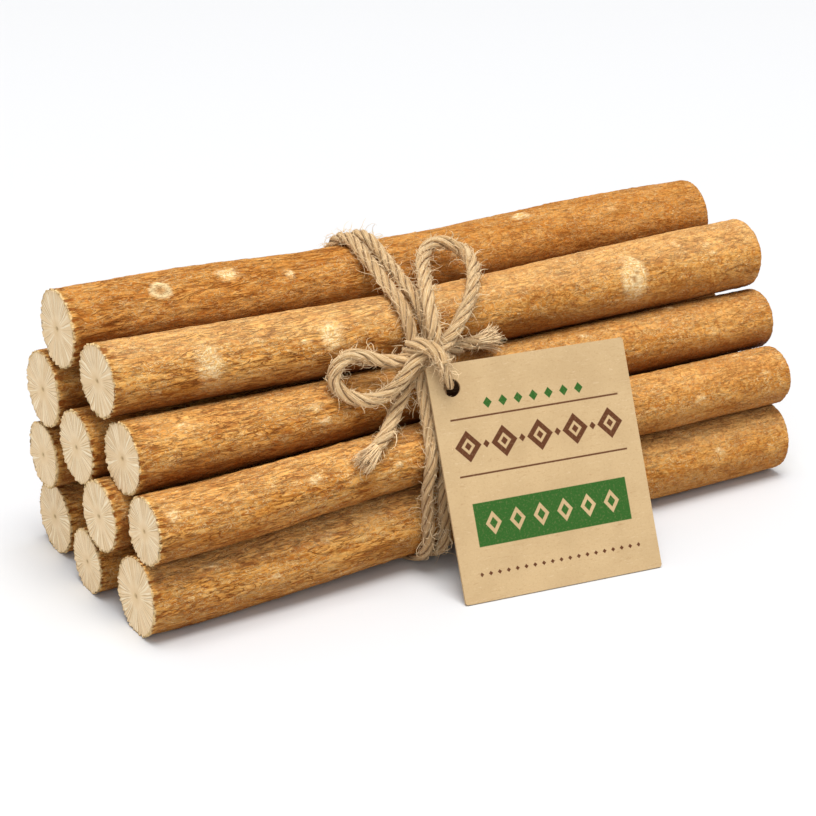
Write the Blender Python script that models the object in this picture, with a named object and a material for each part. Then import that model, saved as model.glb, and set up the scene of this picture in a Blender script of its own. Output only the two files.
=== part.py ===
"""A bundle of miswak sticks lying on a table, tied with jute twine that also holds a card tag.

Metres, +Z up. The sticks run along X, with the near cut ends at -X and the tag on the -Y side.
The origin is at the middle of the bundle's box, on the surface that it lies on.
"""

import math

import bmesh
import bpy
from mathutils import Matrix, Vector

MM = 0.001
# Places below are in mm from the line that the front bottom stick lies on; this centres the bundle.
BUNDLE_SHIFT = Vector((0.44, -9.30, 0.0)) * MM

# Sticks: roots cut to one length, bowed a little where the tie pulls them together.
STICK_SIDES = 18
FACET_REACH = 0.5 * (1 + math.cos(math.pi / STICK_SIDES))  # a flat's distance, as a share of the radius
TIE_X = -8.0
TIE_REACH = 58.0  # how far along a stick the squeeze of the tie is felt
EDGE = 0.35  # worn edge of a cut end
STATIONS = (0.06, 0.16, 0.27, 0.36, 0.45, 0.54, 0.64, 0.77, 0.92)  # rings between the ends, as shares
WOBBLE = 0.09  # how far a stick's skin is from round
WOBBLE_TWIST, WOBBLE_SWELL = 0.11, 0.07  # radians per mm along the stick
CALM_END = 0.125  # the share of the length over which the wobble grows from each end
STICK_PHASE = 1.3  # sets each stick's wobble apart from the last
ON_FLOOR = None

# Each stick in mm: near and far cut ends as x, y, z, radius; at the tie as y, z, radius; the sag of
# its middle; and the slope of its near cut, sideways and upwards, in degrees.
STICKS = {
    "stick_front_bottom": dict(near=(-75.4, 0.0, ON_FLOOR, 7.5), tie=(0.5, 9.05, 7.3),
                               far=(74.5, -1.7, ON_FLOOR, 7.5), cut=(0.8, -2.5)),
    "stick_front_lower": dict(near=(-74.4, -2.4, 21.5, 6.35), tie=(-0.3, 22.5, 5.75),
                              far=(74.7, -1.5, 21.6, 6.1), sag=-0.3, cut=(1.1, -2.3)),
    "stick_front_upper": dict(near=(-73.8, 7.3, 32.0, 6.75), tie=(8.7, 31.25, 5.95),
                              far=(76.3, 7.3, 31.1, 6.3), cut=(3.1, -1.6)),
    "stick_front_top": dict(near=(-74.9, 14.6, 44.9, 6.95), tie=(14.1, 43.2, 6.75),
                            far=(75.4, 12.9, 44.3, 7.3), sag=0.75, cut=(2.8, -0.2)),
    "stick_middle_bottom": dict(near=(-76.5, 19.3, ON_FLOOR, 6.2), tie=(20.0, 7.9, 6.0),
                                far=(73.5, 19.5, ON_FLOOR, 5.9), cut=(0.3, -0.2)),
    "stick_middle_centre": dict(near=(-76.8, 12.1, 18.9, 6.85), tie=(12.5, 18.6, 6.6),
                                far=(73.2, 11.7, 18.4, 6.4), cut=(1.9, -0.4)),
    "stick_middle_top": dict(near=(-76.4, 22.2, 28.9, 7.05), tie=(22.4, 29.4, 6.8),
                             far=(73.6, 21.6, 28.4, 6.6), cut=(1.2, -1.0)),
    "stick_back_bottom": dict(near=(-74.9, 38.1, ON_FLOOR, 7.25), tie=(36.5, 8.7, 6.9),
                              far=(75.1, 37.5, ON_FLOOR, 6.7), cut=(0.8, -1.0)),
    "stick_back_lower": dict(near=(-77.0, 37.3, 21.5, 6.45), tie=(36.2, 22.3, 6.15),
                             far=(73.0, 37.0, 20.5, 6.1), cut=(-0.1, -0.1)),
    "stick_back_upper": dict(near=(-77.0, 35.7, 35.9, 7.35), tie=(36.8, 35.9, 7.1),
                             far=(73.0, 36.5, 34.6, 6.9), cut=(0.1, -1.4)),
    "stick_back_top": dict(near=(-76.1, 29.3, 50.3, 7.5), tie=(29.2, 48.5, 7.2),
                           far=(73.8, 29.3, 48.9, 7.3), cut=(0.0, -0.8)),
}

# Twine: two turns side by side, a knot in front, two bow loops, two tails, and a thinner end that
# goes through the tag's hole and back to the turns.
TWINE, TAG_END = 3.2, 1.7  # diameters
TWINE_SIDES = 8
SQUASHED, SPREAD = 1.25, 1.12  # thickness under the bundle, and how much wider it gets there
UNDER_FROM, UNDER_FULL = 0.48, 0.88  # how far a turn faces down where the squash starts and is full
SKIN_GAP = 0.4  # from the sticks to the turns
TURN_X = (-14.4, -11.1)  # where the two turns cross HALF_HEIGHT
TURN_LEAN = 0.12  # they lean towards +X as they go up, and not above KNOT_HEIGHT
HALF_HEIGHT, KNOT_HEIGHT = 32.0, 45.0
SKIN_SIDES = 36
TURN_STEP, CORD_STEP = 2.8, 2.6
KNOT_PLACE, KNOT_RADII = (-11.8, 1.6, 43.0), (4.4, 3.2, 3.1)
KNOT_AROUND, KNOT_RINGS = 14, 9

ROUTES = {
    "loop_up": (TWINE, ((-11.5, 0.5, 42.5), (-10.6, 1.0, 46.5), (-9.6, 4.2, 49.8), (-7.6, 9.0, 52.4),
                        (-4.3, 15.5, 54.2), (-0.8, 20.4, 55.2), (2.2, 21.8, 56.2), (5.4, 21.0, 55.8),
                        (8.0, 19.0, 54.0), (7.0, 14.6, 52.8), (4.0, 9.8, 51.8), (1.0, 6.3, 49.8),
                        (-2.6, 3.9, 46.9), (-6.2, 1.9, 44.6), (-10.0, 0.6, 42.5))),
    "loop_left": (TWINE, ((-12.0, 0.6, 42.5), (-15.8, 0.6, 42.3), (-19.0, 3.0, 41.6), (-21.8, 4.3, 42.1),
                          (-24.8, 4.6, 43.4), (-27.8, 4.8, 43.6), (-30.0, 4.8, 42.0), (-30.8, 4.6, 39.6),
                          (-30.0, 3.4, 37.6), (-27.8, 1.8, 36.2), (-24.8, 0.6, 35.6), (-21.6, 0.0, 36.6),
                          (-18.8, -0.9, 39.2), (-16.7, -1.0, 41.8), (-13.4, -0.2, 44.0))),
    "tail_left": (TWINE, ((-12.5, 1.2, 41.5), (-15.2, 1.6, 38.2), (-17.6, 0.6, 35.4), (-20.0, -0.2, 32.2),
                          (-23.0, -2.6, 30.0), (-27.0, -5.2, 28.6), (-31.0, -7.0, 27.2))),
    "tail_right": (TWINE, ((-11.5, 1.5, 42.0), (-6.0, 3.2, 40.9), (-2.4, 4.7, 40.7), (1.6, 5.5, 41.0),
                           (5.4, 5.4, 41.7), (9.0, 5.6, 41.8))),
    "crossing": (TWINE, ((-15.2, 3.0, 43.4), (-15.5, 1.0, 44.8), (-14.5, -1.2, 45.5), (-13.2, -3.1, 44.8),
                         (-12.4, -4.3, 43.6), (-12.1, -4.9, 42.6))),
    "tag_end": (TAG_END, ((-12.6, -3.6, 44.0), (-12.2, -5.0, 42.0), (-12.0, -5.5, 40.3), (-11.4, -5.7, 38.9),
                          (-10.5, -5.4, 37.7), (-9.9, -4.5, 37.0), (-9.6, -3.2, 36.4), (-9.8, -1.4, 36.0),
                          (-10.4, 0.6, 35.8))),
}

# Tag: kraft card that stands on its lower edge and leans back towards the turns.
TAG_WIDTH, TAG_HEIGHT, TAG_THICK = 42.8, 46.1, 0.5
TAG_CORNER = (-17.4, -22.8)  # its lower left corner on the floor
TAG_TURN, TAG_LEAN = -8.1, 27.0  # degrees, about Z and back from upright
TAG_ROUND, TAG_ROUND_STEPS = 0.5, 3
HOLE_PLACE, HOLE_RADIUS, HOLE_SIDES = (4.7, 41.4), 1.75, 20  # the place is from the lower left corner
PUNCH_DEPTH = 4.0


def material(name, colour, roughness):
    made = bpy.data.materials.new(name)
    made.use_nodes = True
    shader = made.node_tree.nodes["Principled BSDF"]
    shader.inputs["Base Color"].default_value = (*colour, 1.0)
    shader.inputs["Roughness"].default_value = roughness
    shader.inputs["Metallic"].default_value = 0.0
    return made


def add_object(name, mesh, look):
    made = bpy.data.objects.new(name, mesh)
    bpy.context.scene.collection.objects.link(made)
    made.data.materials.append(look)
    made.parent = bundle
    return made


def mesh_of(name, rings, closed=False):
    """A tube through rings of points, in mm, that all have the same number of points."""
    shape = bmesh.new()
    loops = [[shape.verts.new(point * MM) for point in ring] for ring in rings]
    count = len(loops[0])
    pairs = list(zip(loops, loops[1:])) + ([(loops[-1], loops[0])] if closed else [])
    for first, second in pairs:
        for i in range(count):
            j = (i + 1) % count
            shape.faces.new((first[i], first[j], second[j], second[i]))
    if not closed:
        shape.faces.new(reversed(loops[0]))
        shape.faces.new(loops[-1])
    bmesh.ops.recalc_face_normals(shape, faces=shape.faces)
    made = bpy.data.meshes.new(name)
    shape.to_mesh(made)
    shape.free()
    made.shade_smooth()
    made.set_sharp_from_angle(angle=math.radians(50))
    return made


def mix(a, b, share):
    return a + (b - a) * share


def between(value, low, high):
    """0 at low, 1 at high, and no further."""
    return min(1.0, max(0.0, (value - low) / (high - low)))


def squeeze(x):
    """1 at the tie, falling smoothly to 0 at TIE_REACH from it."""
    return math.cos(0.5 * math.pi * between(abs(x - TIE_X), 0.0, TIE_REACH)) ** 2


def on_floor(height, radius):
    return radius * FACET_REACH if height is ON_FLOOR else height


def along_stick(stick, share):
    """x, y, z and radius of a stick's middle line, at this share of its length."""
    near_x, near_y, near_z, near_r = stick["near"]
    far_x, far_y, far_z, far_r = stick["far"]
    near = (near_y, on_floor(near_z, near_r), near_r)
    far = (far_y, on_floor(far_z, far_r), far_r)
    tie_share = (TIE_X - near_x) / (far_x - near_x)
    x = mix(near_x, far_x, share)
    bow = 4 * share * (1 - share)
    tie_bow = 4 * tie_share * (1 - tie_share)
    sags = (0.0, -stick.get("sag", 0.0), 0.0)
    place = [x]
    for start, tied, end, sag in zip(near, stick["tie"], far, sags):
        pulled = tied - mix(start, end, tie_share) - sag * tie_bow
        place.append(mix(start, end, share) + sag * bow + squeeze(x) * pulled)
    return place


def stick_mesh(name, stick, phase):
    """A stick as a tube of flats, one of them straight down, with worn edges and a sloped near cut."""
    slope_y, slope_z = (math.tan(math.radians(a)) for a in stick["cut"])
    edge_share = EDGE / (stick["far"][0] - stick["near"][0])
    corner_reach = 0.5 * (1 + 1 / math.cos(math.pi / STICK_SIDES))
    rings = []
    for share in (0.0, edge_share, *STATIONS, 1.0 - edge_share, 1.0):
        x, y, z, radius = along_stick(stick, share)
        worn = EDGE if share in (0.0, 1.0) else 0.0
        cut = 1.0 - between(share, 0.0, STATIONS[0])
        calm = between(min(share, 1.0 - share), 0.0, CALM_END)
        ring = []
        for i in range(STICK_SIDES):
            angle = 2 * math.pi * (i + 0.5) / STICK_SIDES - 0.5 * math.pi
            wave = math.sin(2 * angle + phase + WOBBLE_TWIST * x) * math.sin(WOBBLE_SWELL * x + 2 * phase)
            reach = radius * corner_reach - worn + WOBBLE * calm * wave
            side, up = reach * math.cos(angle), reach * math.sin(angle)
            slant = -(side * slope_y + up * slope_z) * cut
            ring.append(Vector((x + slant, y + side, max(0.0, z + up))))
        rings.append(ring)
    return mesh_of(name, rings)


def left_turn(a, b, c):
    """Above 0 where the way from a to b to c turns left, in the plane across the sticks."""
    return (b[0] - a[0]) * (c[1] - b[1]) - (b[1] - a[1]) * (c[0] - b[0])


def hull(points):
    """The convex outline round points in a plane, anticlockwise."""
    points = sorted(set(points))
    outline = []
    for row in (points, points[::-1]):
        side = []
        for point in row:
            while len(side) > 1 and left_turn(side[-2], side[-1], point) <= 0:
                side.pop()
            side.append(point)
        outline += side[:-1]
    return outline


def respaced(points, step, closed=False):
    """Points at equal spacing along a path, about step apart."""
    path = list(points) + ([points[0]] if closed else [])
    lengths = [0.0]
    for a, b in zip(path, path[1:]):
        lengths.append(lengths[-1] + (b - a).length)
    count = max(2, round(lengths[-1] / step))
    spaced, k = [], 0
    for i in range(count if closed else count + 1):
        want = lengths[-1] * i / count
        while k < len(path) - 2 and lengths[k + 1] < want:
            k += 1
        spaced.append(path[k].lerp(path[k + 1], between(want, lengths[k], lengths[k + 1])))
    return spaced


def curved(points, step, parts=8):
    """A smooth path through hand-set points, as evenly spaced points."""
    points = [Vector(p) for p in points]
    ends = [2 * points[0] - points[1], *points, 2 * points[-1] - points[-2]]
    fine = []
    for a, b, c, d in zip(ends, ends[1:], ends[2:], ends[3:]):
        for t in (i / parts for i in range(parts)):
            fine.append(0.5 * (2 * b + (c - a) * t + (2 * a - 5 * b + 4 * c - d) * t**2
                               + (3 * b - a - 3 * c + d) * t**3))
    return respaced([*fine, points[-1]], step)


def turn_x(middle_x, height):
    """Where a turn crosses this height."""
    return middle_x + TURN_LEAN * (min(height, KNOT_HEIGHT) - HALF_HEIGHT)


def turn_mesh(name, middle_x):
    """One turn of twine round the outline of the sticks, squashed where they lie on it."""
    skin = []
    for stick in STICKS.values():
        x = turn_x(middle_x, stick["tie"][1])
        near_x, far_x = stick["near"][0], stick["far"][0]
        _, y, z, radius = along_stick(stick, between(x, near_x, far_x))
        for angle in (2 * math.pi * i / SKIN_SIDES for i in range(SKIN_SIDES)):
            reach = radius + SKIN_GAP
            skin.append((y + reach * math.cos(angle), z + reach * math.sin(angle)))
    outline = respaced([Vector((0.0, y, z)) for y, z in hull(skin)], TURN_STEP, closed=True)
    rings = []
    for i, point in enumerate(outline):
        ahead = (outline[(i + 1) % len(outline)] - outline[i - 1]).normalized()
        outward = Vector((0.0, ahead.z, -ahead.y))
        under = between(-outward.z, UNDER_FROM, UNDER_FULL)
        half = 0.5 * mix(TWINE, SQUASHED, under)
        wide = 0.5 * TWINE * mix(1.0, SPREAD, under)
        centre = point + outward * half
        centre.x = turn_x(middle_x, centre.z)
        ring = []
        for angle in (2 * math.pi * (k + 0.5) / TWINE_SIDES for k in range(TWINE_SIDES)):
            ring.append(centre + outward * half * math.sin(angle)
                        + Vector((wide * math.cos(angle), 0.0, 0.0)))
        rings.append(ring)
    return mesh_of(name, rings, closed=True)


def cord_mesh(name, diameter, route):
    """A round cord along a smooth path."""
    path = curved(route, CORD_STEP)
    across = Vector((0.0, 0.0, 1.0))
    rings = []
    for i, point in enumerate(path):
        ahead = (path[min(i + 1, len(path) - 1)] - path[max(i - 1, 0)]).normalized()
        across = (across - ahead * across.dot(ahead)).normalized()
        third = ahead.cross(across)
        rings.append([point + 0.5 * diameter * (across * math.cos(angle) + third * math.sin(angle))
                      for angle in (2 * math.pi * k / TWINE_SIDES for k in range(TWINE_SIDES))])
    return mesh_of(name, rings)


def knot_mesh():
    """The body of the knot, which the loops, tails and turns all run into."""
    shape = bmesh.new()
    bmesh.ops.create_uvsphere(shape, u_segments=KNOT_AROUND, v_segments=KNOT_RINGS, radius=MM)
    bmesh.ops.scale(shape, vec=KNOT_RADII, verts=shape.verts)
    bmesh.ops.translate(shape, vec=Vector(KNOT_PLACE) * MM, verts=shape.verts)
    made = bpy.data.meshes.new("knot")
    shape.to_mesh(made)
    shape.free()
    return made


def join(target, other, operation="UNION"):
    """Add another object to this one, or cut it out, and keep it as a wire helper."""
    other.hide_render = True
    other.display_type = "WIRE"
    step = target.modifiers.new(other.name, "BOOLEAN")
    step.operation = operation
    step.solver = "EXACT"
    step.use_self = True  # a loop of the bow crosses itself inside the knot
    step.object = other


def tag_mesh():
    """The card, standing in XZ with its lower left corner at the origin and its back at +Y."""
    shape = bmesh.new()
    outline = []
    for x, z, start in ((TAG_WIDTH, 0, -90), (TAG_WIDTH, TAG_HEIGHT, 0), (0, TAG_HEIGHT, 90), (0, 0, 180)):
        middle = Vector((x + math.copysign(TAG_ROUND, TAG_WIDTH / 2 - x), 0.0,
                         z + math.copysign(TAG_ROUND, TAG_HEIGHT / 2 - z)))
        for step in range(TAG_ROUND_STEPS + 1):
            angle = math.radians(start + 90 * step / TAG_ROUND_STEPS)
            outline.append(middle + TAG_ROUND * Vector((math.cos(angle), 0.0, math.sin(angle))))
    front = shape.faces.new([shape.verts.new(p * MM) for p in outline])
    made = bmesh.ops.extrude_face_region(shape, geom=[front])
    backs = [v for v in made["geom"] if isinstance(v, bmesh.types.BMVert)]
    bmesh.ops.translate(shape, verts=backs, vec=Vector((0.0, TAG_THICK * MM, 0.0)))
    bmesh.ops.recalc_face_normals(shape, faces=shape.faces)
    mesh = bpy.data.meshes.new("tag")
    shape.to_mesh(mesh)
    shape.free()
    return mesh


def punch_mesh():
    """A round cutter across the card at its hole."""
    shape = bmesh.new()
    place = Matrix.Translation(Vector((HOLE_PLACE[0], TAG_THICK / 2, HOLE_PLACE[1])) * MM)
    bmesh.ops.create_cone(shape, cap_ends=True, segments=HOLE_SIDES, radius1=HOLE_RADIUS * MM,
                          radius2=HOLE_RADIUS * MM, depth=PUNCH_DEPTH * MM,
                          matrix=place @ Matrix.Rotation(math.radians(90), 4, "X"))
    mesh = bpy.data.meshes.new("tag_punch")
    shape.to_mesh(mesh)
    shape.free()
    return mesh


for old in list(bpy.data.objects):
    bpy.data.objects.remove(old)

bundle = bpy.data.objects.new("bundle", None)
bpy.context.scene.collection.objects.link(bundle)
bundle.location = BUNDLE_SHIFT

bark = material("bark", (0.46, 0.24, 0.10), 0.75)
for number, (stick_name, stick) in enumerate(STICKS.items()):
    add_object(stick_name, stick_mesh(stick_name, stick, STICK_PHASE * number), bark)

jute = material("jute", (0.55, 0.42, 0.26), 0.9)
twine = add_object("twine", turn_mesh("twine", TURN_X[0]), jute)
join(twine, add_object("second_turn", turn_mesh("second_turn", TURN_X[1]), jute))
join(twine, add_object("knot", knot_mesh(), jute))
for route_name, (diameter, route) in ROUTES.items():
    join(twine, add_object(route_name, cord_mesh(route_name, diameter, route), jute))

card = material("kraft_card", (0.74, 0.53, 0.32), 0.85)
tag = add_object("tag", tag_mesh(), card)
tag.rotation_euler = (math.radians(-TAG_LEAN), 0.0, math.radians(TAG_TURN))
raised = TAG_THICK * math.sin(math.radians(TAG_LEAN))  # the card's back edge is the one on the floor
tag.location = Vector((*TAG_CORNER, raised)) * MM
punch = add_object("tag_punch", punch_mesh(), card)
punch.location, punch.rotation_euler = tag.location, tag.rotation_euler
join(tag, punch, "DIFFERENCE")
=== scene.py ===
"""A bundle of miswak sticks tied with jute twine, with a kraft card tag, lying on a pale table."""

import math
import random

import bmesh
import bpy
import numpy as np
from mathutils import Matrix, Vector


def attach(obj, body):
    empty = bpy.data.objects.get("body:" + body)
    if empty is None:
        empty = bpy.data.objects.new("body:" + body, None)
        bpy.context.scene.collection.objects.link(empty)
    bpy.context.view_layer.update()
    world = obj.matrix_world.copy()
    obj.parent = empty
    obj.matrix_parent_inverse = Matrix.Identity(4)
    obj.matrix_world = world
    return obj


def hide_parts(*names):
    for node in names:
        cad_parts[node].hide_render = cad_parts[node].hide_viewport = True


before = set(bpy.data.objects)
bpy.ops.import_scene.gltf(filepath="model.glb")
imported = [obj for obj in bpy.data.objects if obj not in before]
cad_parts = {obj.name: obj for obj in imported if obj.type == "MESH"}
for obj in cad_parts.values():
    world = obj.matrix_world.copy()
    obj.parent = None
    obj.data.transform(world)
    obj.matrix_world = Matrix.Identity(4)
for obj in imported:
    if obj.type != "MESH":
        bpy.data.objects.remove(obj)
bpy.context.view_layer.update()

# The view and the light
# The bundle is seen from its near cut ends and a little from above, on a pale table in soft, even
# light from windows all round, the strongest from above and behind on the right.
MM = 0.001
CAMERA_PLACE = Vector((-220.6, -331.52, 198.4)) * MM
CAMERA_YAW, CAMERA_PITCH, CAMERA_ROLL = 32.355, 23.5, 1.057
CAMERA_LENS = 95.3
TABLE_SIZE = 6.0
TABLE_COLOUR = (0.684, 0.686, 0.692, 1.0)
SKY_STRENGTH = 0.54
SKY_COLOUR = (0.975, 0.985, 1.0, 1.0)
# Each softbox: where it hangs and what it points at, in metres, its side and its power.
SOFTBOXES = {
    "top_window": dict(place=(-0.10, -0.35, 2.90), side=1.7, power=90.0),
    "front_window": dict(place=(-1.60, -2.00, 1.20), side=1.8, power=12.5),
}


class Wire:
    """A socket of a node tree. Sums and products of wires and numbers add their Math nodes."""

    def __init__(self, tree, socket=None):
        self.tree = tree
        self.socket = socket

    def add(self, kind, links=None, out=0, **settings):
        """Any node: its settings are set first, and then the values or wires of its sockets."""
        node = self.tree.nodes.new(kind)
        for name, value in settings.items():
            setattr(node, name, value)
        for place, link in (links or {}).items():
            if isinstance(link, Wire):
                self.tree.links.new(link.socket, node.inputs[place])
            else:
                node.inputs[place].default_value = link
        return Wire(self.tree, node.outputs[out])

    def output(self, name):
        """Another output of the same node."""
        return Wire(self.tree, self.socket.node.outputs[name])

    def maths(self, operation, other=0.0, reflected=False):
        """A Math node on this wire and another wire or number, which comes first if reflected."""
        pair = (other, self) if reflected else (self, other)
        return self.add("ShaderNodeMath", dict(enumerate(pair)), operation=operation)

    def __add__(self, other):
        return self.maths("ADD", other)

    def __sub__(self, other):
        return self.maths("SUBTRACT", other)

    def __rsub__(self, other):
        return self.maths("SUBTRACT", other, reflected=True)

    def __mul__(self, other):
        return self.maths("MULTIPLY", other)

    def __truediv__(self, other):
        return self.maths("DIVIDE", other)

    def __or__(self, other):
        """Where either of two masks is."""
        return self.maths("MAXIMUM", other)

    def __abs__(self):
        return self.maths("ABSOLUTE")

    __radd__ = __add__
    __rmul__ = __mul__

    def ramp(self, low, high):
        """0 below low and 1 above high, smooth between them. With high below low it falls instead."""
        if low < high:
            return self.add("ShaderNodeMapRange", {0: self, 1: low, 2: high},
                            interpolation_type="SMOOTHSTEP")
        return 1.0 - self.ramp(high, low)

    def mix(self, first, second):
        """The first colour where this is 0, and the second where it is 1."""
        return self.add("ShaderNodeMix", {0: self, 6: first, 7: second}, out=2, data_type="RGBA")

    def under(self, *layers):
        """This colour under layers of paint, each a mask and its shade."""
        colour = self
        for mask, shade in layers:
            colour = mask.mix(colour, shade if isinstance(shade, Wire) else paint(*shade))
        return colour

    def vector(self, operation, other=None, scale=None):
        links = {0: self}
        if other is not None:
            links[1] = other
        if scale is not None:
            links[3] = scale
        return self.add("ShaderNodeVectorMath", links, operation=operation)

    def axis(self, name):
        return self.add("ShaderNodeSeparateXYZ", {0: self}, out=name)

    def noise(self, stretch, detail=2.0, roughness=0.5, distortion=0.0, offset=(0.0, 0.0, 0.0)):
        """Cloudy noise at this place in mm, with features of these lengths in mm."""
        scaled = self.vector("MULTIPLY", tuple(1.0 / s for s in stretch)).vector("ADD", offset)
        return self.add("ShaderNodeTexNoise", {"Vector": scaled, "Scale": 1.0, "Detail": detail,
                                               "Roughness": roughness, "Distortion": distortion})

    def place(self):
        """In a material, where each point is, in mm."""
        return self.add("ShaderNodeTexCoord", out="Object").vector("SCALE", scale=1 / MM)

    def field(self, name, out="Fac"):
        """In a material, what is stored on the points under this name."""
        return self.add("ShaderNodeAttribute", out=out, attribute_name=name)


def paint(red, green, blue):
    """A colour given in steps of 0 to 255, as the linear colour that shaders work in."""
    return (*(((c / 255 + 0.055) / 1.055) ** 2.4 for c in (red, green, blue)), 1.0)


def finish(name, **constants):
    """A new material with these values on its shader, and a wire to start its pattern from."""
    made = bpy.data.materials.new(name)
    made.use_nodes = True
    shader = made.node_tree.nodes["Principled BSDF"]
    for socket, value in constants.items():
        shader.inputs[socket.replace("_", " ")].default_value = value
    return made, Wire(made.node_tree)


def plug(made, socket, wire):
    made.node_tree.links.new(wire.socket, made.node_tree.nodes["Principled BSDF"].inputs[socket])


def emboss(made, strength, depth, height):
    """Fine relief, as a bump of this depth in mm."""
    plug(made, "Normal", height.add("ShaderNodeBump", {
        "Strength": strength, "Distance": depth * MM, "Height": height}))


def add_object(name, data):
    made = bpy.data.objects.new(name, data)
    bpy.context.scene.collection.objects.link(made)
    return made


def look_matrix(place, ahead, roll=0.0):
    """The placing of a camera or lamp at place that looks along ahead, turned by roll."""
    right = ahead.cross(Vector((0.0, 0.0, 1.0))).normalized()
    up = right.cross(ahead)
    turned_right = math.cos(roll) * right + math.sin(roll) * up
    turned_up = math.cos(roll) * up - math.sin(roll) * right
    turned = Matrix((turned_right, turned_up, -ahead)).transposed().to_4x4()
    return Matrix.Translation(place) @ turned


yaw, pitch = math.radians(CAMERA_YAW), math.radians(CAMERA_PITCH)
camera = add_object("camera", bpy.data.cameras.new("camera"))
camera.data.lens = CAMERA_LENS
camera.data.clip_start = 0.01
camera.matrix_world = look_matrix(
    CAMERA_PLACE,
    Vector((math.sin(yaw) * math.cos(pitch), math.cos(yaw) * math.cos(pitch), -math.sin(pitch))),
    math.radians(CAMERA_ROLL))
bpy.context.scene.camera = camera
bpy.context.scene.view_settings.view_transform = "Standard"

for name, box in SOFTBOXES.items():
    light = bpy.data.lights.new(name, "AREA")
    light.size = box["side"]
    light.energy = box["power"]
    place = Vector(box["place"])
    add_object(name, light).matrix_world = look_matrix(place, -place.normalized())

sky = bpy.data.worlds.new("sky")
sky.use_nodes = True
sky.node_tree.nodes["Background"].inputs["Color"].default_value = SKY_COLOUR
sky.node_tree.nodes["Background"].inputs["Strength"].default_value = SKY_STRENGTH
bpy.context.scene.world = sky

table_shape = bmesh.new()
bmesh.ops.create_grid(table_shape, x_segments=1, y_segments=1, size=TABLE_SIZE / 2)
table_mesh = bpy.data.meshes.new("table")
table_shape.to_mesh(table_mesh)
table_shape.free()
table = add_object("table", table_mesh)
table_look, _ = finish("pale_table", Base_Color=TABLE_COLOUR, Roughness=0.7)
table_mesh.materials.append(table_look)


# The sticks
# Eleven lengths of root, cut across with a saw and dried with their bark on. The bark is thin, ridged
# lengthwise and marked by old side roots; the cut wood is pale, with fine rays round a small pith.
STICK_AROUND, STICK_ALONG = 144, 170  # points round a stick, and rings along it between its end zones
STICK_FLATS = 18  # flats round a stick of the frame
RING_GAP = 2.0  # mm between two stations of a frame stick, and more than its worn edge
END_FINE, END_RINGS, END_CLOSER = 3.0, 11, 1.7  # over these mm the rings come closer to a cut
CUT_RINGS = (0.08, 0.19, 0.30, 0.41, 0.52, 0.62, 0.71, 0.79, 0.86, 0.92, 0.96, 0.993)
CUT_FADE = 9.0  # mm over which the slope of a cut dies out along the bark
RIM_ROUND, FAR_ROUND = 0.22, 0.75  # the near rim is sharp, and the far one is worn round
CREVICE_REACH = 4.4  # mm from a neighbouring stick within which shade is painted on the bark
UNSHADED_UP_GAP = 5.0  # mm counted as added to that gap where the bark faces up, so that less shade is painted there
FAR_OFF = 9.0  # the gap where no other stick is near
HOLE_SHADE = (-4.2, -6.4, 32.6)  # the place on the bark that shows through the tag's hole, round which a dark shade is painted
SHADE_FADES, SHADE_FULL = 3.4, 1.8  # mm from that place
CRUMPLED = (-15.0, 20.0)  # the bark is ridged lengthwise before the first x, and crumpled past the second
# Old side roots and lenticels on the bark: mm along the stick, degrees round it from the back over
# the top, and how far each reaches along and round, in mm. A negative strength is a sunken one.
SCARS = {
    "stick_back_top": (
        (-56.4, 127, 2.3, 2.2, -1.1), (-41.4, 117, 3.0, 2.4, 1.1), (-28.8, 133, 1.2, 1.5, 1.2),
        (27.9, 102, 3.0, 1.5, 1.1), (9.0, 150, 1.4, 0.9, 0.6), (50.0, 128, 2.0, 1.0, 0.5),
        (-62.0, -60, 2.6, 2.0, 0.9), (38.0, 20, 3.0, 2.2, 1.0)),
    "stick_front_top": (
        (-54.7, 162, 3.8, 5.8, 1.0), (-28.5, 149, 3.5, 4.0, 1.3), (-44.0, 137, 1.3, 0.8, 0.8),
        (-34.5, 152, 2.0, 1.0, 0.6), (42.4, 160, 3.9, 6.2, 1.6), (42.3, 161, 0.9, 1.4, -1.2),
        (42.9, 151, 0.8, 1.1, -0.9), (55.1, 116, 1.8, 1.2, 0.6), (62.1, 129, 1.6, 1.1, 0.5),
        (-66.0, 190, 1.8, 1.0, 0.5), (20.0, -40, 3.0, 2.4, 0.9)),
    "stick_front_upper": (
        (-35.3, 141, 3.0, 1.2, 0.8), (-33.7, 168, 2.6, 1.3, 0.7), (-62.2, 122, 2.2, 1.2, 0.6),
        (52.8, 84, 2.6, 1.6, 0.6), (60.0, 165, 2.2, 1.3, 0.5)),
    "stick_front_lower": (
        (-70.5, 138, 1.8, 1.5, 0.7), (-40.1, 144, 3.0, 1.4, 0.7), (50.1, 168, 2.4, 1.6, 0.7),
        (68.0, 150, 1.8, 1.2, 0.5), (-22.0, 160, 2.2, 1.0, 0.5)),
    "stick_front_bottom": (
        (-38.7, 144, 3.0, 1.5, 0.7), (-62.2, 134, 2.4, 1.3, 0.6), (56.0, 160, 2.6, 1.6, 0.6),
        (-50.0, 175, 2.0, 1.0, 0.5)),
    "stick_back_bottom": (
        (-30.0, -5, 3.2, 3.0, 1.0), (44.0, 25, 2.4, 1.6, 0.7), (10.0, 40, 1.8, 1.2, 0.5)),
    "stick_back_lower": (
        (22.0, 5, 3.0, 2.6, 0.9), (-50.0, 15, 2.2, 1.4, 0.6)),
    "stick_back_upper": (
        (-12.0, -10, 2.6, 1.6, 0.8), (58.0, 20, 3.0, 3.4, 1.0)),
    "stick_middle_bottom": ((30.0, -90, 2.4, 1.6, 0.7),),
    "stick_middle_centre": ((-64.0, 95, 2.0, 1.2, 0.6),),
    "stick_middle_top": ((-60.0, 80, 2.4, 1.4, 0.7),),
}
STRAY_SCARS, STRAY_SEED = 4, 11  # small lenticels scattered on each stick
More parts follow.
